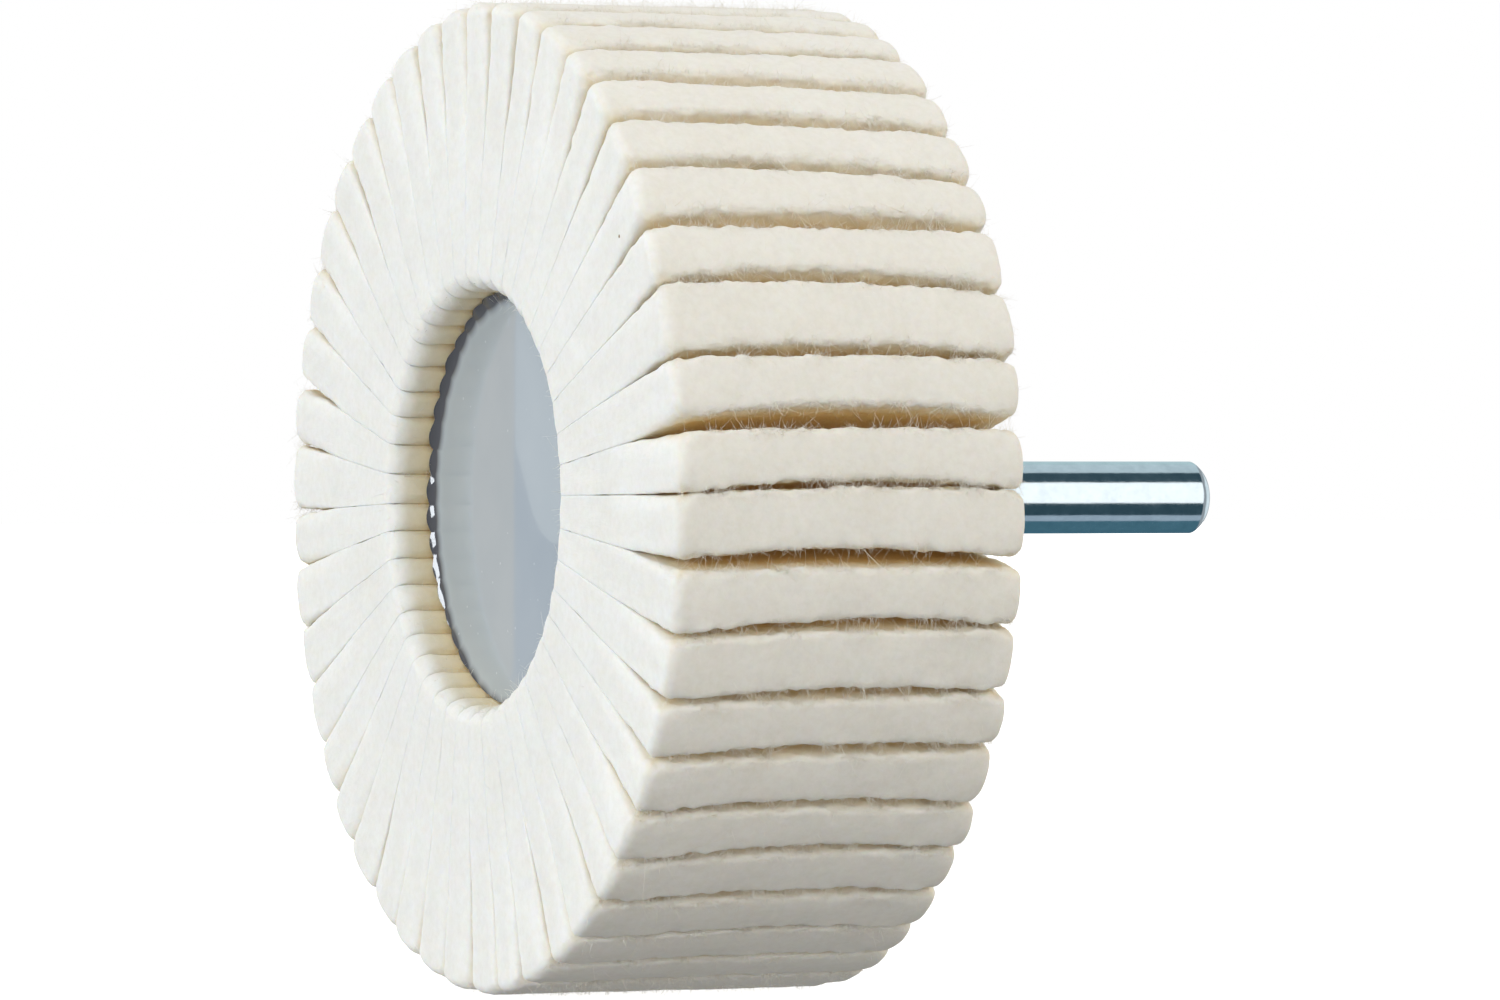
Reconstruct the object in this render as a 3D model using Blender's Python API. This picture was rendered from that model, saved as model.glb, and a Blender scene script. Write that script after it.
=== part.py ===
"""A felt flap wheel: radial felt flaps set in a cast resin core on a steel shank.

Metres, +Z up. The wheel turns about Y: its recessed front faces -Y and the shank points to +Y.
The origin is on the turning axis, at the middle of the wheel's width.
Angles run from +X towards +Z, and slit k is the cut between flap k and the flap before it.
"""

import math
import random

import bmesh
import bpy

MM = 0.001

# The ring of felt flaps
FLAP_COUNT = 46
WHEEL_RADIUS = 40.0 * MM
WHEEL_WIDTH = 30.0 * MM
ROOT_RADIUS = 17.1 * MM
SPREAD_RADIUS = 30.0 * MM
BOW_STATION = 9.0 * MM
CORNER_ROUND = 0.55 * MM
CORNER_DEPTH = 0.7 * MM
END_ROUND = 0.25 * MM

# How the flaps sit: none of these is quite even on a hand-packed felt ring
FIRST_SLIT_ANGLE = math.radians(1.0)
CROWDING = math.radians(1.15)
RIPPLE = math.radians(0.8)
RIPPLE_WAVES = 3
RIPPLE_START = math.radians(-32.0)
ANGLE_JITTER = math.radians(0.3)
SLIT_OPENING = 1.15 * MM
OPENING_SWING = 0.45 * MM
SWING_START = math.radians(35.0)
OPENING_JITTER = 0.25 * MM
PINCH = 0.36
PINCH_POWER = 2.2
BOW = 0.65 * MM
BOW_JITTER = 0.25 * MM
LEAN = 0.7 * MM
TILT_JITTER = 0.25 * MM
BEND_POWER = 1.5
SEED = 46
# Slits that gape or stay shut, by number: their opening at the rim
ODD_SLITS = {0: 0.95 * MM, 1: 2.1 * MM, 21: 1.9 * MM, 23: 1.5 * MM, 45: 1.8 * MM}

# The gap that pieces in contact keep between their meshes
GAP = 0.3 * MM

# The dovetail that keys the resin into the flap roots
NOTCH_DEPTH = 2.4 * MM
NOTCH_MOUTH_HALF = 3.0 * MM
NOTCH_FLOOR_HALF = 4.2 * MM

# The resin core
CORE_RADIUS = ROOT_RADIUS - GAP
RECESS_DEPTH = 3.6 * MM
CORE_FRONT = -WHEEL_WIDTH / 2 + RECESS_DEPTH
CORE_REAR = WHEEL_WIDTH / 2 - RECESS_DEPTH
CORE_EDGE = 0.4 * MM

# The shank, with a six-sided head cast into the resin
SHANK_RADIUS = 3.0 * MM
SHANK_TIP = 50.8 * MM
SHANK_CHAMFER = 0.9 * MM
HEAD_HALF_WIDTH = 4.2 * MM
HEAD_FRONT = -7.5 * MM
HEAD_REAR = -1.5 * MM
HEAD_SLOPE = 1.0 * MM
HEX_SIDES = 6
TURNED_SEGMENTS = 36


def clear_scene():
    """Empties the file of objects."""
    for item in list(bpy.data.objects):
        bpy.data.objects.remove(item)


def make_material(name, colour, roughness, metallic):
    """A Principled material in one colour."""
    material = bpy.data.materials.new(name)
    material.use_nodes = True
    shader = material.node_tree.nodes["Principled BSDF"]
    shader.inputs["Base Color"].default_value = (*colour, 1.0)
    shader.inputs["Roughness"].default_value = roughness
    shader.inputs["Metallic"].default_value = metallic
    return material


def add_object(name, work, material):
    """Turns a bmesh into a named object with its faces pointing out."""
    bmesh.ops.recalc_face_normals(work, faces=work.faces)
    mesh = bpy.data.meshes.new(name)
    work.to_mesh(mesh)
    work.free()
    mesh.materials.append(material)
    part = bpy.data.objects.new(name, mesh)
    bpy.context.scene.collection.objects.link(part)
    return part


# ---------------------------------------------------------------- felt flaps


def make_slits():
    """Each slit's angle, opening at the rim, bow and tilt, from smooth rules and a little jitter."""
    chance = random.Random(SEED)
    slits = []
    for number in range(FLAP_COUNT):
        turn = math.tau * number / FLAP_COUNT
        angle = FIRST_SLIT_ANGLE + turn - CROWDING * math.sin(turn)
        angle += RIPPLE * math.sin(RIPPLE_WAVES * turn + RIPPLE_START)
        angle += ANGLE_JITTER * chance.uniform(-1, 1)
        opening = SLIT_OPENING + OPENING_SWING * math.sin(turn + SWING_START)
        opening += OPENING_JITTER * chance.uniform(-1, 1)
        bow = BOW + BOW_JITTER * chance.uniform(-1, 1)
        tilt = -LEAN * math.sin(turn) + TILT_JITTER * chance.uniform(-1, 1)
        opening = ODD_SLITS.get(number, opening)
        slits.append({"angle": angle, "opening": opening, "bow": bow, "tilt": tilt})
    return slits


def slit_face(slit, radius, across, extra, side):
    """The angle of one face of a slit. side is +1 for its far face and -1 for its near face.

    The slit is widest at the rim at mid-width, and pinched at the front and the rear. It narrows
    inwards at the rate at which flat felt of even thickness fans out, until the flaps press on
    each other. extra widens it on each side, for the flaps' rounded corners.
    """
    along = across / (WHEEL_WIDTH / 2)
    reach = (radius - ROOT_RADIUS) / (WHEEL_RADIUS - ROOT_RADIUS)
    lens = 1 - PINCH * abs(along) ** PINCH_POWER
    fan = math.tau / FLAP_COUNT * (WHEEL_RADIUS - radius)
    width = max(GAP, slit["opening"] * lens - fan) + 2 * extra
    drift = (slit["bow"] * (1 - along * along) + slit["tilt"] * along) * reach**BEND_POWER
    return slit["angle"] + (drift + side * width / 2) / radius


def flap_column(place, at_end, sign):
    """One column of a flap's side, from root to rim, as (radius, axial place) points.

    A column with no place of its own follows a flank of the dovetail notch.
    """
    rim = WHEEL_RADIUS - (CORNER_ROUND if at_end else 0)
    radii = (ROOT_RADIUS, ROOT_RADIUS + NOTCH_DEPTH, SPREAD_RADIUS, rim - CORNER_DEPTH, rim)
    at_root = sign * (place or NOTCH_MOUTH_HALF)
    beyond = sign * (place or NOTCH_FLOOR_HALF)
    return [(radius, at_root if radius == ROOT_RADIUS else beyond) for radius in radii]


def flap_columns():
    """The columns of a flap's side from front to rear, each with the rounding of its corners."""
    end = WHEEL_WIDTH / 2
    outwards = (None, BOW_STATION, end - CORNER_ROUND, end)
    columns = []
    for sign, places in ((-1, reversed(outwards)), (1, outwards)):
        for place in places:
            at_end = place == end
            columns.append((flap_column(place, at_end, sign), END_ROUND if at_end else 0.0))
    return columns


def make_flap(name, slit_before, slit_after, material):
    """One felt flap, filling the space between two slits, with the dovetail notch in its root."""
    work = bmesh.new()
    grid = []
    for points, end_round in flap_columns():
        column = []
        for row, (radius, across) in enumerate(points):
            extra = CORNER_ROUND if row == len(points) - 1 else end_round
            pair = []
            for slit, side in ((slit_before, 1), (slit_after, -1)):
                angle = slit_face(slit, radius, across, extra, side)
                pair.append(work.verts.new((radius * math.cos(angle), across, radius * math.sin(angle))))
            column.append(pair)
        grid.append(column)
    columns, rows = len(grid) - 1, len(grid[0]) - 1
    notch = (columns // 2, 0)
    cells = {(c, r) for c in range(columns) for r in range(rows)} - {notch}
    for c, r in sorted(cells):
        corners = (grid[c][r], grid[c + 1][r], grid[c + 1][r + 1], grid[c][r + 1])
        for side in (0, 1):
            work.faces.new([corner[side] for corner in corners])
        beyond = ((c, r - 1), (c + 1, r), (c, r + 1), (c - 1, r))
        for edge, neighbour in enumerate(beyond):
            if neighbour not in cells:
                first, second = corners[edge], corners[(edge + 1) % 4]
                work.faces.new((first[0], second[0], second[1], first[1]))
    return add_object(name, work, material)


# -------------------------------------------------------------- turned parts


def circle(radius):
    """A ring's radius all the way round: a plain circle."""
    return lambda angle: radius


def hexagon(half_width):
    """A ring's radius all the way round: a hexagon, by half its width across the flats."""
    sixth = math.tau / HEX_SIDES
    return lambda angle: half_width / math.cos((angle % sixth) - sixth / 2)


def loft(name, rings, material):
    """A closed body through rings of (axial place, outline), with a flat cap over each end ring."""
    work = bmesh.new()
    loops = []
    for across, outline in rings:
        loop = []
        for step in range(TURNED_SEGMENTS):
            angle = math.tau * step / TURNED_SEGMENTS
            radius = outline(angle)
            loop.append(work.verts.new((radius * math.cos(angle), across, radius * math.sin(angle))))
        loops.append(loop)
    for near, far in zip(loops, loops[1:]):
        for step in range(TURNED_SEGMENTS):
            after = (step + 1) % TURNED_SEGMENTS
            work.faces.new((near[step], near[after], far[after], far[step]))
    for loop in (loops[0], loops[-1]):
        work.faces.new(loop)
    part = add_object(name, work, material)
    part.data.shade_smooth()
    part.data.set_sharp_from_angle(angle=math.radians(30))
    return part


def make_core(material):
    """The resin core: a disc with a dovetail rib round it and the shank's pocket in its back."""
    mouth, crest = NOTCH_MOUTH_HALF - GAP, NOTCH_FLOOR_HALF - GAP
    rib_radius = ROOT_RADIUS + NOTCH_DEPTH - GAP
    pocket, head = SHANK_RADIUS + GAP, HEAD_HALF_WIDTH + GAP
    rings = [
        (CORE_FRONT, circle(CORE_RADIUS - CORE_EDGE)),
        (CORE_FRONT + CORE_EDGE, circle(CORE_RADIUS)),
        (-mouth, circle(CORE_RADIUS)),
        (-crest, circle(rib_radius)),
        (crest, circle(rib_radius)),
        (mouth, circle(CORE_RADIUS)),
        (CORE_REAR - CORE_EDGE, circle(CORE_RADIUS)),
        (CORE_REAR, circle(CORE_RADIUS - CORE_EDGE)),
        (CORE_REAR, circle(pocket)),
        (HEAD_REAR + HEAD_SLOPE + GAP, circle(pocket)),
        (HEAD_REAR + GAP, hexagon(head)),
        (HEAD_FRONT - GAP, hexagon(head)),
    ]
    return loft("resin_core", rings, material)


def make_shank(material):
    """The steel shank, with the six-sided head that the resin grips and a chamfered free end."""
    rings = [
        (HEAD_FRONT, hexagon(HEAD_HALF_WIDTH)),
        (HEAD_REAR, hexagon(HEAD_HALF_WIDTH)),
        (HEAD_REAR + HEAD_SLOPE, circle(SHANK_RADIUS)),
        (SHANK_TIP - SHANK_CHAMFER, circle(SHANK_RADIUS)),
        (SHANK_TIP, circle(SHANK_RADIUS - SHANK_CHAMFER)),
    ]
    return loft("shank", rings, material)


def main():
    clear_scene()
    felt = make_material("felt", (0.84, 0.82, 0.75), 0.95, 0.0)
    resin = make_material("resin", (0.38, 0.41, 0.43), 0.2, 0.0)
    steel = make_material("zinc_plated_steel", (0.62, 0.66, 0.69), 0.22, 1.0)
    slits = make_slits()
    for number in range(FLAP_COUNT):
        after = dict(slits[(number + 1) % FLAP_COUNT])
        if number == FLAP_COUNT - 1:
            after["angle"] += math.tau
        make_flap(f"felt_flap_{number + 1:02d}", slits[number], after, felt)
    make_core(resin)
    make_shank(steel)


main()
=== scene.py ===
"""The looks of the felt flap wheel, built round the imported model.

Each felt flap is grown from its CAD solid: its two sides are read from that solid's mesh, and get
soft edges, the swell and waviness of felt, and loose wool fibres. The resin and the shank are
turned from the boxes of their solids. Lengths are in metres, and MM is one millimetre.
"""

import itertools
import math

import bpy
import numpy as np
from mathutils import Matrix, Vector


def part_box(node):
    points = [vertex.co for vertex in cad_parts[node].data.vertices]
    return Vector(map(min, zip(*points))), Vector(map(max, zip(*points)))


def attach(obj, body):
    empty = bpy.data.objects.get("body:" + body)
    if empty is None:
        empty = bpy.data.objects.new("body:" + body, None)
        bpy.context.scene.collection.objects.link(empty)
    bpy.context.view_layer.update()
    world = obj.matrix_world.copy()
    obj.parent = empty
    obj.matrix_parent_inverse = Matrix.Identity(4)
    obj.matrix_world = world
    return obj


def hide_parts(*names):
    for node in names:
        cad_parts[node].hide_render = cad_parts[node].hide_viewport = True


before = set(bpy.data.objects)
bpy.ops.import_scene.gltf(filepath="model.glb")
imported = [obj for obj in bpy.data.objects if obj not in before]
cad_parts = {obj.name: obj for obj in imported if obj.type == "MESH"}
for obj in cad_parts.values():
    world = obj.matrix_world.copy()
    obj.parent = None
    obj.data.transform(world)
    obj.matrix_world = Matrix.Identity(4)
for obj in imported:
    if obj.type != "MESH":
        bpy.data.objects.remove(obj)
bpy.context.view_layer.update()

MM = 0.001

# The wheel, read from the CAD solids
FLAPS = sorted(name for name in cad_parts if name.startswith("felt_flap_"))
RESIN_LOW, RESIN_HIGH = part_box("resin_core")
SHANK_LOW, SHANK_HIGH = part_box("shank")
FLAP_BOXES = [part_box(name) for name in FLAPS]
HALF_WIDTH = max(high.y for low, high in FLAP_BOXES)
RIM = max(high.z for low, high in FLAP_BOXES)
ROOT = min(math.hypot(v.co.x, v.co.z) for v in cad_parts[FLAPS[0]].data.vertices)

# Sizes that the CAD solids were made to, which their boxes do not give
CAD_GAP = 0.3 * MM
RESIN_WALL = 16.8 * MM
SHANK_RADIUS = 3.0 * MM

# A felt flap: the gap where two press on each other, and how its outline is rounded and swollen
PRESSED_GAP = 0.005 * MM
LIP_ROUND = 1.4 * MM
RIM_CORNER_ROUND = 0.9 * MM
END_BULGE = 0.28 * MM
RIM_CROWN = 0.1 * MM
CORNER_CROWN = 0.3 * MM
FACE_SWELL = 0.35 * MM
CREASE = 0.48 * MM
CREASE_REACH = 0.55 * MM
UNEVEN_ENDS = 0.12 * MM

# How far a flap's edges are softened: where it is pressed, in an open slit, and extra at each end
PRESSED_SOFT = 0.006 * MM
OPEN_SOFT = 0.35 * MM
END_SOFT = 0.4 * MM
RIM_SOFT = 0.14 * MM
HUB_SOFT = 0.6 * MM

# The felt's unevenness: the size of its lumps, and how far they push out deep inside, where the
# felt is free, and on its free edges
FELT_LUMPS = (
    (3.2 * MM, 0.004 * MM, 0.05 * MM, 0.0),
    (1.1 * MM, 0.002 * MM, 0.03 * MM, 0.13 * MM),
    (0.45 * MM, 0.001 * MM, 0.025 * MM, 0.11 * MM),
)

# The spacing of a flap's mesh in each direction: finest, coarsest and growth. The last direction,
# through its thickness, is counted from -1 to 1
RADIAL_STEPS = (0.12 * MM, 1.0 * MM, 1.15)
AXIAL_STEPS = (0.12 * MM, 0.3 * MM, 1.2)
THICKNESS_STEPS = (0.06, 0.17, 1.3)

# Loose fibres: how many, where they gather, how they taper and curl, and their sizes. The lengths
# spread round FIBRE_LENGTH_MM by the factor exp(FIBRE_SPREAD) and are held to FIBRE_RANGE_MM
FUZZ_GROUPS = 12
FIBRES_PER_FLAP = 2100
TUFT_SIZE = 1.2 * MM
FIBRE_ROOT = 0.06 * MM
FIBRE_TAPER = 0.6
FIBRE_CURL = 1.0
FIBRE_STATIONS = (0.0, 0.35, 0.7, 1.0)
FIBRE_LENGTH_MM = 0.3
FIBRE_SPREAD = 0.45
FIBRE_RANGE_MM = (0.12, 1.1)
FIBRE_RADII_MM = (0.012, 0.022)

# The resin's edge, which creeps up the felt, and the shank's softened end
CREEP = 0.85 * MM
CREEP_REACH = 0.45 * MM
CREEP_ZONE = 1.5 * MM
CHAMFER = 0.95 * MM
CHAMFER_POWER = 1.6
CHAMFER_STEPS = 8

# The camera
AIM = np.array([0.0, 0.00947, -0.00017])
AZIMUTH, ELEVATION = 65.3, 0.18
DISTANCE = 0.7307
LENS, SENSOR = 214.4, 36.0

# How far the cards that the shank mirrors are from its axis
CARDS_AWAY = 0.73


# ------------------------------------------------------------------ tools


def hashed(cells, seed):
    """A number from -1 to 1 for each whole-numbered cell."""
    code = cells[..., 0] * 73856093 ^ cells[..., 1] * 19349663 ^ cells[..., 2] * 83492791
    code = (code ^ (seed * 2654435)) & 0x7FFFFFFF
    code = (code ^ (code >> 13)) * 1274126177 & 0x7FFFFFFF
    code = (code ^ (code >> 15)) * 668265263 & 0x7FFFFFFF
    return code / 0x3FFFFFFF - 1


def noise(points, size, seed):
    """Smooth noise from -1 to 1 at each point, in lumps of about that size."""
    place = points / size
    cells = np.floor(place).astype(np.int64)
    part = place - cells
    part = part * part * (3 - 2 * part)
    total = np.zeros(len(points))
    for corner in itertools.product((0, 1), repeat=3):
        share = np.prod(np.where(corner, part, 1 - part), axis=1)
        total += share * hashed(cells + np.array(corner), seed)
    return total


def between(value, start, end):
    """How far a value has come from start to end: 0 up to start, and 1 from end on."""
    return np.clip((value - start) / (end - start), 0, 1)


def graded(length, fine, coarse, growth):
    """Places from 0 to length, closest together near both ends."""
    steps, step, reached = [], fine, 0.0
    while reached < length / 2:
        steps.append(step)
        reached += step
        step = min(step * growth, coarse)
    edge = np.concatenate(([0.0], np.cumsum(steps))) * (length / 2 / reached)
    return np.concatenate((edge, length - edge[-2::-1]))


def box_lattice(across, along, through):
    """The surface of a lattice box: each point's three step numbers, and its quads, facing out."""
    counts = (across, along, through)
    steps = np.stack(np.meshgrid(*[np.arange(n + 1) for n in counts], indexing="ij"), axis=-1)
    outer = np.any((steps == 0) | (steps == np.array(counts)), axis=-1)
    index = np.full(outer.shape, -1)
    index[outer] = np.arange(outer.sum())
    quads = []
    for axis in range(3):
        for end in (0, -1):
            face = np.take(index, end, axis=axis)
            ring = [face[:-1, :-1], face[1:, :-1], face[1:, 1:], face[:-1, 1:]]
            if (end == 0) == (axis != 1):
                ring.reverse()
            quads.append(np.stack([corner.ravel() for corner in ring], axis=1))
    return steps[outer], np.concatenate(quads)


def add_piece(mesh, material):
    """Makes a mesh a visible piece of the wheel."""
    mesh.materials.append(material)
    piece = bpy.data.objects.new(mesh.name, mesh)
    bpy.context.scene.collection.objects.link(piece)
    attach(piece, "root")
    return piece


def add_mesh(name, points, faces, material):
    """A smooth mesh piece from arrays of points and of equal-sized faces."""
    mesh = bpy.data.meshes.new(name)
    size = faces.shape[1]
    mesh.vertices.add(len(points))
    mesh.vertices.foreach_set("co", points.astype(np.float32).ravel())
    mesh.loops.add(faces.size)
    mesh.loops.foreach_set("vertex_index", faces.astype(np.int32).ravel())
    mesh.polygons.add(len(faces))
    mesh.polygons.foreach_set("loop_start", np.arange(0, faces.size, size, dtype=np.int32))
    mesh.update(calc_edges=True)
    mesh.shade_smooth()
    return add_piece(mesh, material)


def point_normals(points, quads):
    """A unit normal at each point of a quad mesh."""
    a, b, c, d = (points[quads[:, k]] for k in range(4))
    face = np.cross(c - a, d - b)
    normals = np.zeros_like(points)
    for k in range(4):
        np.add.at(normals, quads[:, k], face)
    return normals / np.linalg.norm(normals, axis=1, keepdims=True)


def polar(radius, across, angle):
    """Points at a radius and angle about the Y axis, angles running from +X towards +Z."""
    return np.stack([radius * np.cos(angle), across, radius * np.sin(angle)], axis=-1)


# -------------------------------------------------------------- materials


class Nodes:
    """Short ways to build a material's node tree."""

    def __init__(self, name):
        self.material = bpy.data.materials.new(name)
        self.material.use_nodes = True
        self.tree = self.material.node_tree
        self.shader = self.tree.nodes["Principled BSDF"]

    def put(self, socket, value):
        """Links a socket to another one, or gives it a constant value."""
        if isinstance(value, bpy.types.NodeSocket):
            self.tree.links.new(value, socket)
        else:
            socket.default_value = value

    def add(self, kind, inputs=None, **settings):
        node = self.tree.nodes.new(kind)
        for key, value in settings.items():
            setattr(node, key, value)
        for key, value in (inputs or {}).items():
            self.put(node.inputs[key], value)
        return node

    def math(self, operation, first, second=0.0):
        return self.add("ShaderNodeMath", {0: first, 1: second}, operation=operation).outputs[0]

    def map_range(self, value, **limits):
        inputs = {"Value": value}
        inputs.update((name.replace("_", " "), limit) for name, limit in limits.items())
        return self.add("ShaderNodeMapRange", inputs).outputs["Result"]

    def place(self):
        return self.add("ShaderNodeTexCoord").outputs["Object"]

    def split(self, vector):
        node = self.add("ShaderNodeSeparateXYZ", {"Vector": vector})
        return [node.outputs[axis] for axis in "XYZ"]

    def noise(self, vector, scale, detail=3.0, roughness=0.6):
        inputs = {"Vector": vector, "Scale": scale, "Detail": detail, "Roughness": roughness}
        return self.add("ShaderNodeTexNoise", inputs).outputs["Fac"]

    def specks(self, vector, scale, size, rarity):
        """1 inside small round specks, of which only some are kept, and 0 elsewhere."""
        cells = self.add("ShaderNodeTexVoronoi", {"Vector": vector, "Scale": scale})
        chance = self.add("ShaderNodeSeparateColor", {"Color": cells.outputs["Color"]})
        kept = self.math("GREATER_THAN", chance.outputs["Red"], rarity)
        return self.math("MULTIPLY", self.math("LESS_THAN", cells.outputs["Distance"], size), kept)

    def ramp(self, value, stops):
        node = self.add("ShaderNodeValToRGB", {"Fac": value})
        ramp = node.color_ramp
        while len(ramp.elements) < len(stops):
            ramp.elements.new(1.0)
        for element, (place, colour) in zip(ramp.elements, stops):
            element.position = place
            element.color = (*colour, 1.0)
        return node.outputs["Color"]

    def mix(self, factor, first, second, blend="MIX"):
        # Inputs 0, 6 and 7 are this node's factor and two colours, and output 2 is its colour
        inputs = {0: factor, 6: first, 7: second}
        return self.add("ShaderNodeMix", inputs, data_type="RGBA", blend_type=blend).outputs[2]

    def set(self, **values):
        for name, value in values.items():
            self.put(self.shader.inputs[name.replace("_", " ")], value)

    def bump(self, height, strength, distance):
        inputs = {"Height": height, "Strength": strength, "Distance": distance}
        return self.add("ShaderNodeBump", inputs).outputs["Normal"]


def felt_place(nodes, stretch):
    """A point of felt: its place, a place drawn out along the sheet, and how deep it is, which sets
    the painted shade of the slits and the hub.
    """
    place = nodes.place()
    x, y, z = nodes.split(place)
    squares = [nodes.math("MULTIPLY", side, side) for side in (x, z)]
    radius = nodes.math("SQRT", nodes.math("ADD", *squares))
    drawn = {
        "X": nodes.math("MULTIPLY", nodes.math("ARCTAN2", z, x), RIM),
        "Y": nodes.math("DIVIDE", y, stretch),
        "Z": nodes.math("DIVIDE", radius, stretch),
    }
    under_rim = nodes.math("SUBTRACT", RIM, radius)
    under_face = nodes.math("SUBTRACT", HALF_WIDTH, nodes.math("ABSOLUTE", y))
    depth = nodes.math("MINIMUM", under_rim, under_face)
    # Near the hub the depth counts for less, which weakens the painted shade on the hub wall
    off_hub = nodes.map_range(radius, From_Min=ROOT, From_Max=ROOT + 3 * MM, To_Min=0.8)
    depth = nodes.math("MULTIPLY", depth, off_hub)
    return place, nodes.add("ShaderNodeCombineXYZ", drawn).outputs["Vector"], depth


def felt_material():
    """Pressed wool felt: off-white and matted, with painted tan shade and a faint painted glow
    inside the slits and the hub.
    """
    nodes = Nodes("felt_wool")
    place, drawn, depth = felt_place(nodes, stretch=5.0)
    blotch = nodes.noise(place, scale=160.0)
    matting = nodes.noise(place, scale=1500.0, detail=4.0, roughness=0.65)
    grain = nodes.noise(drawn, scale=2600.0)
    # Painted shade: the felt turns tan with depth into the slits and the hub, where shade falls on
    # it
    deep = nodes.math("DIVIDE", depth, 5 * MM)
    base = nodes.ramp(blotch, [(0.3, (0.83, 0.81, 0.755)), (0.7, (0.86, 0.845, 0.80))])
    painted_slit_shade = [(0.04, (1.0, 1.0, 1.0)), (0.2, (1.02, 0.95, 0.8)), (0.6, (1.06, 0.87, 0.53))]
    base = nodes.mix(1.0, base, nodes.ramp(deep, painted_slit_shade), "MULTIPLY")
    shade = nodes.ramp(matting, [(0.3, (0.95, 0.945, 0.93)), (0.62, (1.0, 1.0, 1.0))])
    base = nodes.mix(1.0, base, shade, "MULTIPLY")
    bits = nodes.specks(place, scale=240.0, size=0.035, rarity=0.95)
    base = nodes.mix(bits, base, (0.25, 0.19, 0.11, 1.0))
    height = nodes.math("ADD", nodes.math("MULTIPLY", grain, 0.6), matting)
    nodes.set(
        Base_Color=base,
        Roughness=1.0,
        Specular_IOR_Level=0.1,
        # Painted light: a faint brown glow that grows with depth into the slits and the hub
        Emission_Color=nodes.ramp(deep, [(0.1, (0.0, 0.0, 0.0)), (0.5, (0.016, 0.01, 0.004))]),
        Emission_Strength=1.0,
        Subsurface_Weight=0.4,
        Subsurface_Radius=(1.0, 0.7, 0.4),
        Subsurface_Scale=0.6 * MM,
        Normal=nodes.bump(height, strength=0.5, distance=0.1 * MM),
    )
    return nodes.material


def fibre_material():
    """Single wool fibres: paler than the matted felt."""
    nodes = Nodes("wool_fibre")
    cloud = nodes.noise(nodes.place(), scale=900.0, detail=1.0)
    base = nodes.ramp(cloud, [(0.35, (0.82, 0.77, 0.67)), (0.65, (0.92, 0.9, 0.84))])
    nodes.set(Base_Color=base, Roughness=0.8, Specular_IOR_Level=0.2)
    return nodes.material


def resin_material():
    """Cast grey epoxy: glossy, with faint clouds and pale lint, and painted shade where its edge
    climbs the felt.
    """
    nodes = Nodes("cast_resin")
    place = nodes.place()
    cloud = nodes.noise(place, scale=120.0, detail=2.0)
    base = nodes.ramp(cloud, [(0.3, (0.37, 0.41, 0.43)), (0.7, (0.4, 0.435, 0.45))])
    lint = nodes.math("MULTIPLY", nodes.specks(place, scale=1300.0, size=0.14, rarity=0.9), 0.5)
    base = nodes.mix(lint, base, (0.66, 0.68, 0.69, 1.0))
    # Painted shade: the resin is darkened where its edge climbs the felt, in the crease against the
    # flap ends
    across = nodes.split(place)[1]
    climb = nodes.math("SUBTRACT", nodes.math("ABSOLUTE", across), RESIN_HIGH.y)
    painted_crease_shade = nodes.map_range(climb, From_Min=0.04 * MM, From_Max=0.2 * MM)
    base = nodes.mix(painted_crease_shade, base, (0.085, 0.085, 0.095, 1.0))
    ripple = nodes.noise(place, scale=90.0, detail=1.0)
    nodes.set(
        Base_Color=base,
        Roughness=nodes.math("ADD", nodes.math("MULTIPLY", cloud, 0.02), 0.01),
        IOR=1.52,
        Normal=nodes.bump(ripple, strength=0.02, distance=0.1 * MM),
    )
    return nodes.material


def steel_material():
    """Bright zinc plating over turned steel, streaked along its length, with a few dull spots."""
    nodes = Nodes("zinc_plated_steel")
    place = nodes.place()
    drawn = nodes.add("ShaderNodeVectorMath", {0: place, 1: (1.0, 0.12, 1.0)}, operation="MULTIPLY")
    streaks = nodes.noise(drawn.outputs["Vector"], scale=2600.0)
    cloud = nodes.noise(place, scale=800.0, detail=4.0, roughness=0.65)
    height = nodes.math("ADD", streaks, cloud)
    nodes.set(
        Base_Color=nodes.ramp(cloud, [(0.3, (0.64, 0.7, 0.72)), (0.7, (0.76, 0.82, 0.84))]),
        Metallic=1.0,
        Roughness=nodes.math("ADD", nodes.math("MULTIPLY", cloud, 0.14), 0.06),
        Normal=nodes.bump(height, strength=0.2, distance=0.02 * MM),
    )
    return nodes.material


def floor_material():
    """A plain white studio floor that glows evenly."""
    nodes = Nodes("studio_floor")
    nodes.set(
        Base_Color=(0.9, 0.9, 0.9, 1.0),
        Roughness=0.9,
        Specular_IOR_Level=0.0,
        Emission_Color=(1.0, 1.0, 1.0, 1.0),
        Emission_Strength=0.8,
    )
    return nodes.material


def glow_material(name, colour):
    """A reflector's even glow."""
    nodes = Nodes(name)
    nodes.set(
        Base_Color=(0.0, 0.0, 0.0, 1.0),
        Specular_IOR_Level=0.0,
        Emission_Color=(*colour, 1.0),
        Emission_Strength=1.0,
    )
    return nodes.material


# ------------------------------------------------------------------- felt


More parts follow.
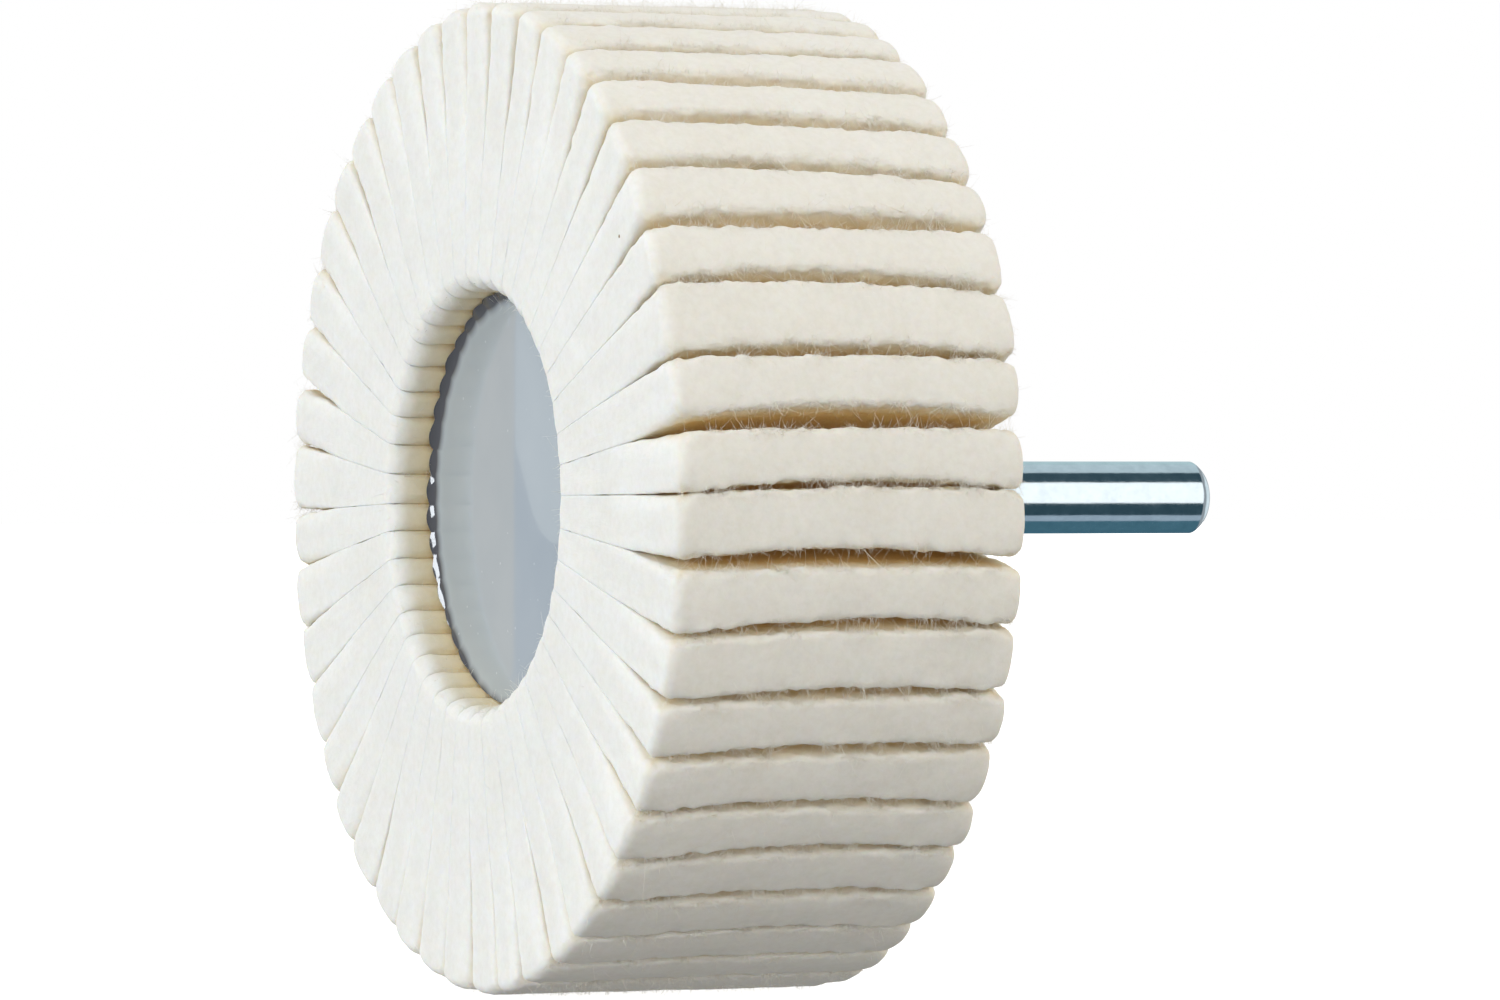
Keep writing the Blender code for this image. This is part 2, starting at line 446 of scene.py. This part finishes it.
def cad_sides(name):
    """A CAD flap's middle angle and its rows of side points: (radius, axial places, near, far).

    near and far are the angles of its two sides from the middle. The end columns and the rim row of
    the solid carry its chamfers, so they are left out. So are the flanks of the notch in its root.
    """
    tolerance = 0.06 * MM
    thinnest = 0.03
    points = np.array([vertex.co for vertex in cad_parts[name].data.vertices], float)
    radius = np.hypot(points[:, 0], points[:, 2])
    middle = math.atan2(points[:, 2].mean(), points[:, 0].mean()) % math.tau
    angle = (np.arctan2(points[:, 2], points[:, 0]) - middle + math.pi) % math.tau - math.pi
    inner = np.abs(points[:, 1]) < HALF_WIDTH - 0.1 * MM
    rows = []
    for row_radius in np.unique(np.round(radius[inner], 4))[:-1]:
        here = inner & (np.abs(radius - row_radius) < tolerance)
        places = np.unique(np.round(points[here, 1], 4))
        sides = [angle[here & (np.abs(points[:, 1] - place) < tolerance)] for place in places]
        near = np.array([side.min() for side in sides])
        far = np.array([side.max() for side in sides])
        whole = far - near > thinnest
        rows.append((row_radius, places[whole], near[whole], far[whole]))
    return middle, rows


def side_angles(rows, radii, places):
    """A flap's two side angles on a grid of radii and axial places, smoothed from its CAD rows."""
    fits = []
    for _, row_places, *sides in rows:
        degree = min(4, len(row_places) - 1)
        curves = [np.polyfit(row_places / HALF_WIDTH, side, degree) for side in sides]
        fits.append([np.polyval(curve, places / HALF_WIDTH) for curve in curves])
    fits = np.array(fits)
    row_radii = np.array([row[0] for row in rows])
    step = np.clip(np.searchsorted(row_radii, radii) - 1, 0, len(rows) - 2)
    share = ((radii - row_radii[step]) / (row_radii[step + 1] - row_radii[step]))[:, None]
    return [fits[step, side] * (1 - share) + fits[step + 1, side] * share for side in (0, 1)]


def flap_sides(radii, places):
    """Every flap's side angles, and half the width of the slit beyond each side, on one grid."""
    near, far = [], []
    for name in FLAPS:
        middle, rows = cad_sides(name)
        pair = side_angles(rows, radii, places)
        near.append(middle + pair[0])
        far.append(middle + pair[1])
    near, far = np.array(near), np.array(far)
    slit = (near - np.roll(far, 1, axis=0) + math.pi) % math.tau - math.pi
    slit = slit * radii[None, :, None] / 2
    return near, far, slit, np.roll(slit, -1, axis=0)


def rounded(radius, across, through, half, soft):
    """A flap's box, rounded: its outline by fixed radii, and its edges along the outline by soft.

    Takes and gives each point's radius, axial place and place through the flap's thickness. Squares
    round each corner of the outline become circles, and so do those across its edges.
    """
    at_rim = radius > (RIM + ROOT) / 2
    size = np.where(at_rim, RIM_CORNER_ROUND, LIP_ROUND)
    end = np.where(at_rim, RIM, ROOT)
    inward = np.where(at_rim, -1.0, 1.0)
    side = np.where(across > 0, 1.0, -1.0)
    u = size - (radius - end) * inward
    v = size - (HALF_WIDTH - np.abs(across))
    most = np.maximum(u, v)
    rise = np.clip(soft - (size - most), 0, soft)
    over = np.clip(soft - (half - np.abs(through)), 0, soft)
    length = np.maximum(np.hypot(rise, over), 1e-9)
    at_edge = (rise > 0) & (over > 0)
    shrink = np.where(at_edge, rise - rise * soft / length, 0.0)
    softened = half - soft + over * soft / length
    through = np.sign(through) * np.where(at_edge, softened, np.abs(through))
    inner = np.where(most > 1e-7, (most - shrink) / np.maximum(most, 1e-7), 1.0)
    u, v = np.where(u > 0, u * inner, u), np.where(v > 0, v * inner, v)
    corner = (u > 0) & (v > 0)
    turn = np.where(corner, np.maximum(u, v) / np.maximum(np.hypot(u, v), 1e-9), 1.0)
    return end + (size - u * turn) * inward, side * (HALF_WIDTH - size + v * turn), through


def edge_softness(radius, across, half, room):
    """How far a flap's edges are softened: little where it is pressed, and more in the open."""
    reach = (radius - ROOT) / (RIM - ROOT)
    outwards = np.abs(across)
    at_end = between(outwards, HALF_WIDTH - 2 * MM, HALF_WIDTH - 1 * MM)
    soft = PRESSED_SOFT + np.minimum(0.8 * room, OPEN_SOFT)
    soft += END_SOFT * at_end * between(reach, 0.4, 1.0) ** 1.3
    soft += RIM_SOFT * between(reach, 0.85, 1.0)
    in_hub = between(outwards, HALF_WIDTH, HALF_WIDTH - 2 * MM)
    in_hub *= between(radius, ROOT + 0.8 * MM, ROOT)
    return np.minimum(soft + HUB_SOFT * in_hub, half * 0.6)


def felt_flap(number, lattice, radii, places, shares, sides):
    """One felt flap's points, and facts on each: its place in the flap and its slit's width."""
    near, far, slit_before, slit_after = (
        grid[number][lattice[:, 0], lattice[:, 1]] for grid in sides
    )
    radius, across, share = radii[lattice[:, 0]], places[lattice[:, 1]], shares[lattice[:, 2]]
    half = (far - near) / 2 * radius + (CAD_GAP - PRESSED_GAP) / 2
    side = (share + 1) / 2
    room = np.maximum(slit_before * (1 - side) + slit_after * side - CAD_GAP / 2, 0.0)
    reach = (radius - ROOT) / (RIM - ROOT)
    soft = edge_softness(radius, across, half, room)
    radius, across, through = rounded(radius, across, share * half, half, soft)

    # The root end bulges, and the rim is crowned across the flap's thickness
    domed = 1 - between(np.abs(through), 0.0, half) ** 2
    at_root = between(radius, ROOT + 3 * MM, ROOT) ** 2
    at_rim = between(radius, RIM - 3 * MM, RIM) ** 2
    near_face = between(np.abs(across), HALF_WIDTH - 4 * MM, HALF_WIDTH) ** 2
    crown = RIM_CROWN + CORNER_CROWN * near_face
    radius = radius - END_BULGE * domed * at_root + (domed - 1) * crown * at_rim

    # The faces swell where the flaps are pressed, and further out each flap ends unevenly, with a
    # crease along its slits. How much is up to each flap
    lie = np.random.default_rng(number).uniform(-1, 1, 4)
    loose = between(reach, 0.38, 1.0) ** 1.2
    crease = CREASE * (1 + 0.5 * np.where(through > 0, lie[0], lie[1]))
    swell = FACE_SWELL * between(reach, 0.75, 0.0) ** 1.5
    swell = swell - loose * crease * np.exp(-(half - np.abs(through)) / CREASE_REACH)
    swell = swell + loose * UNEVEN_ENDS * (lie[2] + lie[3] * through / half)
    across = across + np.sign(across) * swell * between(np.abs(across), 0.0, HALF_WIDTH) ** 6

    points = polar(radius, across, (near + far) / 2 + through / radius)
    facts = {"half": half, "through": through, "radius": radius, "across": across, "room": room}
    return points, facts


def roughen(points, facts, quads):
    """Felt's own unevenness, pushed out along the normals: more at the free edges, little inside.

    Also gives how free each point is, and how near it is to a free edge.
    """
    normals = point_normals(points, quads)
    radius, outwards, room = facts["radius"], np.abs(facts["across"]), facts["room"]
    open_rim = between(radius, RIM - 6 * MM, RIM)
    ends = between(outwards, HALF_WIDTH - 1.5 * MM, HALF_WIDTH)
    free = np.maximum(open_rim, np.maximum(ends, between(radius, ROOT + 1 * MM, ROOT)))
    side = between(np.abs(facts["through"]), 0.0, facts["half"])
    edge = free * between(side, 0.65, 1.0) * between(room, 0.0, 0.15 * MM)
    push = np.zeros(len(points))
    for seed, (size, deep, at_free, at_edge) in enumerate(FELT_LUMPS, 1):
        push += (deep + at_free * free + at_edge * edge) * noise(points, size, seed)
    angle = np.arctan2(points[:, 2], points[:, 0])
    sideways = np.abs(normals[:, 2] * np.cos(angle) - normals[:, 0] * np.sin(angle))
    limit = np.where(sideways > 0.3, room * 0.8 + 0.3 * PRESSED_GAP, 1.0)
    return points + normals * np.minimum(push, limit)[:, None], free, edge


def wool_fibres(points, normals, lengths, thickness, chance):
    """Thin curled tapering fibres, as closed three-sided tubes, growing from the given points."""
    count = len(points)
    stray = chance.normal(size=(count, 3))
    aim = normals * chance.uniform(0.1, 0.8, (count, 1)) + stray * 0.7
    aim /= np.linalg.norm(aim, axis=1, keepdims=True)
    bend = chance.normal(size=(count, 3)) * FIBRE_CURL
    side = np.cross(aim, stray)
    side /= np.linalg.norm(side, axis=1, keepdims=True)
    other = np.cross(aim, side)
    start = points - normals * FIBRE_ROOT
    rings = []
    for along in FIBRE_STATIONS:
        centre = start + (aim * along + bend * along * along) * lengths[:, None]
        girth = thickness[:, None] * (1 - FIBRE_TAPER * along)
        for turn in (0.0, math.tau / 3, 2 * math.tau / 3):
            rings.append(centre + girth * (math.cos(turn) * side + math.sin(turn) * other))
    corners = np.stack(rings, axis=1)
    last = 3 * (len(FIBRE_STATIONS) - 1)
    faces = [(0, 2, 1), (last, last + 1, last + 2)]
    for ring in range(0, last, 3):
        for step in range(3):
            after = (step + 1) % 3
            a, b, c, d = ring + step, ring + after, ring + 3 + after, ring + 3 + step
            faces += [(a, b, c), (a, c, d)]
    faces = np.array(faces)[None] + np.arange(count)[:, None, None] * len(rings)
    return corners.reshape(-1, 3), faces.reshape(-1, 3)


def fibre_density(facts, free, edge):
    """How likely each point of a flap is to carry a loose fibre."""
    radius = facts["radius"]
    rimward = between(radius, RIM - 3 * MM, RIM)
    corner = between(radius, RIM - 0.7 * MM, RIM)
    lip = between(radius, ROOT + 1.5 * MM, ROOT) * free
    on_edges = edge * (0.8 * rimward + 5.0 * corner)
    return 0.015 * free + on_edges + 0.08 * rimward**2 + 0.2 * lip


def make_felt(felt, fibre):
    """All the flaps, and their loose fibres in a few groups round the wheel."""
    radii = ROOT + graded(RIM - ROOT, *RADIAL_STEPS)
    places = graded(2 * HALF_WIDTH, *AXIAL_STEPS) - HALF_WIDTH
    shares = graded(2.0, *THICKNESS_STEPS) - 1.0
    sides = flap_sides(radii, places)
    lattice, quads = box_lattice(len(radii) - 1, len(places) - 1, len(shares) - 1)
    chance = np.random.default_rng(7)
    groups = [[] for _ in range(FUZZ_GROUPS)]
    for number, name in enumerate(FLAPS):
        points, facts = felt_flap(number, lattice, radii, places, shares, sides)
        points, free, edge = roughen(points, facts, quads)
        piece = add_mesh(name.replace("felt_flap", "wool_flap"), points, quads, felt)
        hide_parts(name)
        tufts = np.clip(0.7 + 1.4 * noise(points, TUFT_SIZE, 11), 0.1, 2.0)
        weight = fibre_density(facts, free, edge) * tufts
        picked = chance.choice(len(points), FIBRES_PER_FLAP, p=weight / weight.sum())
        normals = point_normals(points, quads)
        groups[number * FUZZ_GROUPS // len(FLAPS)].append((points[picked], normals[picked]))
    for number, members in enumerate(groups, 1):
        points, normals = (np.concatenate(part) for part in zip(*members))
        lengths = chance.lognormal(math.log(FIBRE_LENGTH_MM), FIBRE_SPREAD, len(points))
        lengths = np.clip(lengths, *FIBRE_RANGE_MM) * MM
        thickness = chance.uniform(*FIBRE_RADII_MM, len(points)) * MM
        corners, faces = wool_fibres(points, normals, lengths, thickness, chance)
        add_mesh(f"wool_fuzz_{number}", corners, faces, fibre)


# -------------------------------------------------------- resin and shank


def turned(name, profile, segments, material, shift=None):
    """A closed turned body from a profile of (radius, axial place), from the axis to the axis.

    shift may move each ring's points once they are placed.
    """
    angles = np.arange(segments) * math.tau / segments
    rings = []
    for radius, place in profile[1:-1]:
        ring = polar(np.full(segments, radius), np.full(segments, place), angles)
        rings.append(ring if shift is None else shift(ring, radius, place, angles))
    points = np.concatenate(rings + [[(0.0, profile[0][1], 0.0), (0.0, profile[-1][1], 0.0)]])
    here = np.arange(segments)
    after = (here + 1) % segments
    quads = []
    for near in range(0, (len(rings) - 1) * segments, segments):
        far = near + segments
        quads.append(np.stack([near + here, near + after, far + after, far + here], axis=1))
    last = (len(rings) - 1) * segments
    start, end = len(points) - 2, len(points) - 1
    caps = [(start, int(b), int(a)) for a, b in zip(here, after)]
    caps += [(end, int(last + a), int(last + b)) for a, b in zip(here, after)]
    mesh = bpy.data.meshes.new(name)
    mesh.from_pydata(points.tolist(), [], np.concatenate(quads).tolist() + caps)
    mesh.shade_smooth()
    mesh.set_sharp_from_angle(angle=math.radians(50))
    return add_piece(mesh, material)


def slit_angles():
    """Where the slits between the flaps' inner ends are, in order round the wheel."""
    angles = []
    for name in FLAPS:
        middle, rows = cad_sides(name)
        angles.append((middle + rows[0][2].mean()) % math.tau)
    return np.sort(np.array(angles))


def make_resin(material):
    """The cast resin: a flat disc whose edge creeps up the flap ends, wavy from flap to flap."""
    front, rear = RESIN_LOW.y, RESIN_HIGH.y
    slits = slit_angles()

    def meniscus(ring, radius, place, angles):
        if abs(place - front) > 2 * MM and abs(place - rear) > 2 * MM:
            return ring
        before = np.searchsorted(slits, angles) - 1
        low = slits[before]
        gap = (slits[(before + 1) % len(slits)] - low) % math.tau
        phase = ((angles - low) % math.tau) / gap
        flap_chance = hashed(np.stack([before % len(slits)] * 3, axis=1), 5)
        climb = CREEP * (0.55 + 0.35 * np.sin(math.pi * phase) + 0.2 * flap_chance)
        climb = climb * np.clip(1.15 + 0.9 * np.sin(angles), 0.25, 1.0)
        rise = climb * np.exp(-(RESIN_WALL - radius) / CREEP_REACH)
        ripple = 0.001 * MM * noise(ring, 8 * MM, 9)
        ring = ring.copy()
        ring[:, 1] += math.copysign(1.0, place) * (rise + ripple)
        return ring

    inner = np.linspace(0.5 * MM, RESIN_WALL - CREEP_ZONE, 30)
    outer = RESIN_WALL - graded(2 * CREEP_ZONE, 0.08 * MM, 0.3 * MM, 1.25)
    outer = outer[outer >= RESIN_WALL - CREEP_ZONE]
    radii = np.unique(np.round(np.concatenate([inner, outer]), 7))
    bottom = SHANK_LOW.y - 0.05 * MM
    shaft_hole = SHANK_RADIUS + 0.02 * MM
    profile = [(0.0, front)] + [(radius, front) for radius in radii]
    profile += [(RESIN_WALL, place) for place in np.linspace(front, rear, 12)[1:-1]]
    profile += [(radius, rear) for radius in radii[::-1] if radius > SHANK_RADIUS + 0.1 * MM]
    profile += [(shaft_hole, place) for place in (rear, 0.0, bottom)]
    profile += [(0.5 * MM, bottom), (0.0, bottom)]
    piece = turned("cast_resin", profile, len(FLAPS) * 8, material, meniscus)
    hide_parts("resin_core")


def make_shank(material):
    """The shank: a turned bar with a softly chamfered free end."""
    tip, low = SHANK_HIGH.y, SHANK_LOW.y
    straight = np.linspace(low + 1 * MM, tip - CHAMFER - 0.2 * MM, 40)
    profile = [(0.0, low), (SHANK_RADIUS, low)] + [(SHANK_RADIUS, place) for place in straight]
    for step in range(CHAMFER_STEPS + 1):
        turn = math.tau / 4 * step / CHAMFER_STEPS
        inwards, outwards = 1 - math.cos(turn) ** CHAMFER_POWER, math.sin(turn) ** CHAMFER_POWER
        profile.append((SHANK_RADIUS - CHAMFER * inwards, tip - CHAMFER + CHAMFER * outwards))
    profile += [(SHANK_RADIUS * 0.4, tip), (0.0, tip)]
    piece = turned("steel_shank", profile, 160, material)
    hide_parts("shank")


# ---------------------------------------------------------- camera, light


def direction(azimuth, elevation):
    """The unit vector from the wheel to a viewer at that azimuth and elevation, in degrees."""
    a, e = math.radians(azimuth), math.radians(elevation)
    return np.array([math.sin(a) * math.cos(e), -math.cos(a) * math.cos(e), math.sin(e)])


def look_at(thing, place, target):
    """Puts a camera or light at a place, facing a target."""
    thing.location = place
    thing.rotation_euler = (Vector(target) - Vector(place)).to_track_quat("-Z", "Y").to_euler()


def make_camera():
    """A long lens, level with the wheel and well round to its side."""
    data = bpy.data.cameras.new("camera")
    data.lens = LENS
    data.sensor_width = SENSOR
    camera = bpy.data.objects.new("camera", data)
    bpy.context.scene.collection.objects.link(camera)
    look_at(camera, AIM + direction(AZIMUTH, ELEVATION) * DISTANCE, AIM)
    bpy.context.scene.camera = camera


def softbox(name, angles, distance, size, power, colour):
    """A square area light that faces the wheel. It lights it, but is not mirrored in it."""
    data = bpy.data.lights.new(name, "AREA")
    data.size = size
    data.energy = power
    data.color = colour
    light = bpy.data.objects.new(name, data)
    bpy.context.scene.collection.objects.link(light)
    look_at(light, direction(*angles) * distance, (0.0, 0.0, 0.0))
    light.visible_glossy = False


def glowing(name, corners, colour):
    """A flat glowing card that is only seen mirrored in the resin and the steel."""
    mesh = bpy.data.meshes.new(name)
    mesh.from_pydata(corners, [], [tuple(range(len(corners)))])
    mesh.materials.append(glow_material(name, colour))
    card = bpy.data.objects.new(name, mesh)
    bpy.context.scene.collection.objects.link(card)
    card.visible_camera = False
    card.visible_diffuse = False
    card.visible_transmission = False
    card.visible_shadow = False
    return card


def reflector(name, place, target, corners, colour):
    """A glowing card at a place, facing a target. Its corners are in its own plane."""
    card = glowing(name, [(x, y, 0.0) for x, y in corners], colour)
    look_at(card, place, target)


def rectangle(left, bottom, right, top):
    """The four corners of a rectangle between two of them."""
    return [(left, bottom), (right, bottom), (right, top), (left, top)]


def shank_cards():
    """Long cards round the shank, each between two angles in degrees, which it mirrors as bands."""
    dark = (0.035, 0.075, 0.1)
    for name, low, high, colour in (
        ("card_over", 130, 180, (0.5, 0.66, 0.7)),
        ("card_above", 86, 130, (0.56, 0.68, 0.74)),
        ("card_dark_high", 49, 86, dark),
        ("card_side", -18, 49, (1.3, 1.34, 1.38)),
        ("card_dark_low", -59, -18, dark),
        ("card_low", -81, -59, (0.38, 0.48, 0.58)),
        ("card_under", -130, -81, (0.07, 0.17, 0.23)),
        ("card_behind", -180, -130, (0.06, 0.15, 0.21)),
    ):
        corners = []
        for turn, beyond_tip in ((low, 0.2), (high, 0.2), (high, 0.5), (low, 0.5)):
            turn = math.radians(turn)
            x, z = CARDS_AWAY * math.cos(turn), CARDS_AWAY * math.sin(turn)
            corners.append((x, SHANK_HIGH.y + beyond_tip, z))
        glowing(name, corners, colour)
    tip = np.array([0.0, SHANK_HIGH.y, 0.0])
    square = rectangle(-0.25, -0.25, 0.25, 0.25)
    reflector("card_end", tip + np.array([-0.33, CARDS_AWAY, 0.0]), tip, square, (0.8, 0.9, 0.95))


def resin_cards():
    """The card that glints on the resin's edge, and the room and window that its face mirrors."""
    upright = rectangle(-0.25, -0.275, 0.25, 0.275)
    reflector("card_front", direction(8, 25) * 0.9, (0.0, 0.0, 0.0), upright, (17.0, 18.0, 19.0))
    disc = np.array([0.0, RESIN_LOW.y, 0.0])
    mirrored = np.array([-0.1383, -0.0591, 0.0])
    curve = [(0.1, 4.5), (0.7, 2.7), (1.9, -2.0), (2.7, -3.8), (3.6, -4.7)]
    pane = [(0.1, 24), *curve, (8, -6), (8, 24)]
    for name, away, corners, colour in (
        ("card_window", 1.0, rectangle(-14, -30, 0, 30), (0.78, 0.7, 0.64)),
        ("card_room", 1.01, rectangle(0, -30, 12, 30), (0.42, 0.5, 0.7)),
        ("card_pane", 1.0, pane, (0.86, 0.96, 1.1)),
    ):
        corners = [(x * MM, y * MM) for x, y in corners]
        reflector(name, disc + away * mirrored, disc, corners, colour)


def make_world():
    """White to the camera, a soft glow from above to the felt, and grey to what mirrors it."""
    world = bpy.data.worlds.new("studio")
    bpy.context.scene.world = world
    world.use_nodes = True
    nodes, links = world.node_tree.nodes, world.node_tree.links
    nodes["Background"].inputs["Color"].default_value = (1.0, 0.99, 0.955, 1.0)
    place = nodes.new("ShaderNodeTexCoord")
    split = nodes.new("ShaderNodeSeparateXYZ")
    sky = nodes.new("ShaderNodeMapRange")
    links.new(place.outputs["Generated"], split.inputs["Vector"])
    links.new(split.outputs["Z"], sky.inputs["Value"])
    limits = {"From Min": -1.0, "From Max": 0.0, "To Min": 0.17, "To Max": 0.81}
    for socket, value in limits.items():
        sky.inputs[socket].default_value = value
    links.new(sky.outputs["Result"], nodes["Background"].inputs["Strength"])
    path = nodes.new("ShaderNodeLightPath")
    shader = nodes["Background"].outputs["Background"]
    colours = {"Is Glossy Ray": (0.36, 0.39, 0.42), "Is Camera Ray": (1.0, 1.0, 1.0)}
    for ray, colour in colours.items():
        seen = nodes.new("ShaderNodeBackground")
        seen.inputs["Color"].default_value = (*colour, 1.0)
        mix = nodes.new("ShaderNodeMixShader")
        links.new(path.outputs[ray], mix.inputs["Fac"])
        links.new(shader, mix.inputs[1])
        links.new(seen.outputs["Background"], mix.inputs[2])
        shader = mix.outputs["Shader"]
    links.new(shader, nodes["World Output"].inputs["Surface"])


def make_studio():
    """The floor, the surroundings and the lights."""
    bpy.ops.mesh.primitive_plane_add(size=12.0, location=(0.0, 0.0, -RIM))
    floor = bpy.context.object
    floor.name = "floor"
    floor.data.materials.append(floor_material())
    floor.visible_diffuse = False
    floor.visible_glossy = False
    make_world()
    shank_cards()
    resin_cards()
    softbox("key", (8, 2), distance=1.2, size=0.9, power=10.6, colour=(0.79, 0.88, 1.0))
    softbox("side_fill", (120, 22), distance=1.0, size=0.8, power=2.2, colour=(1.0, 0.93, 0.81))
    bpy.context.scene.view_settings.view_transform = "Standard"


def main():
    """The pieces that are seen, and the studio round them."""
    make_felt(felt_material(), fibre_material())
    make_resin(resin_material())
    make_shank(steel_material())
    make_camera()
    make_studio()


main()
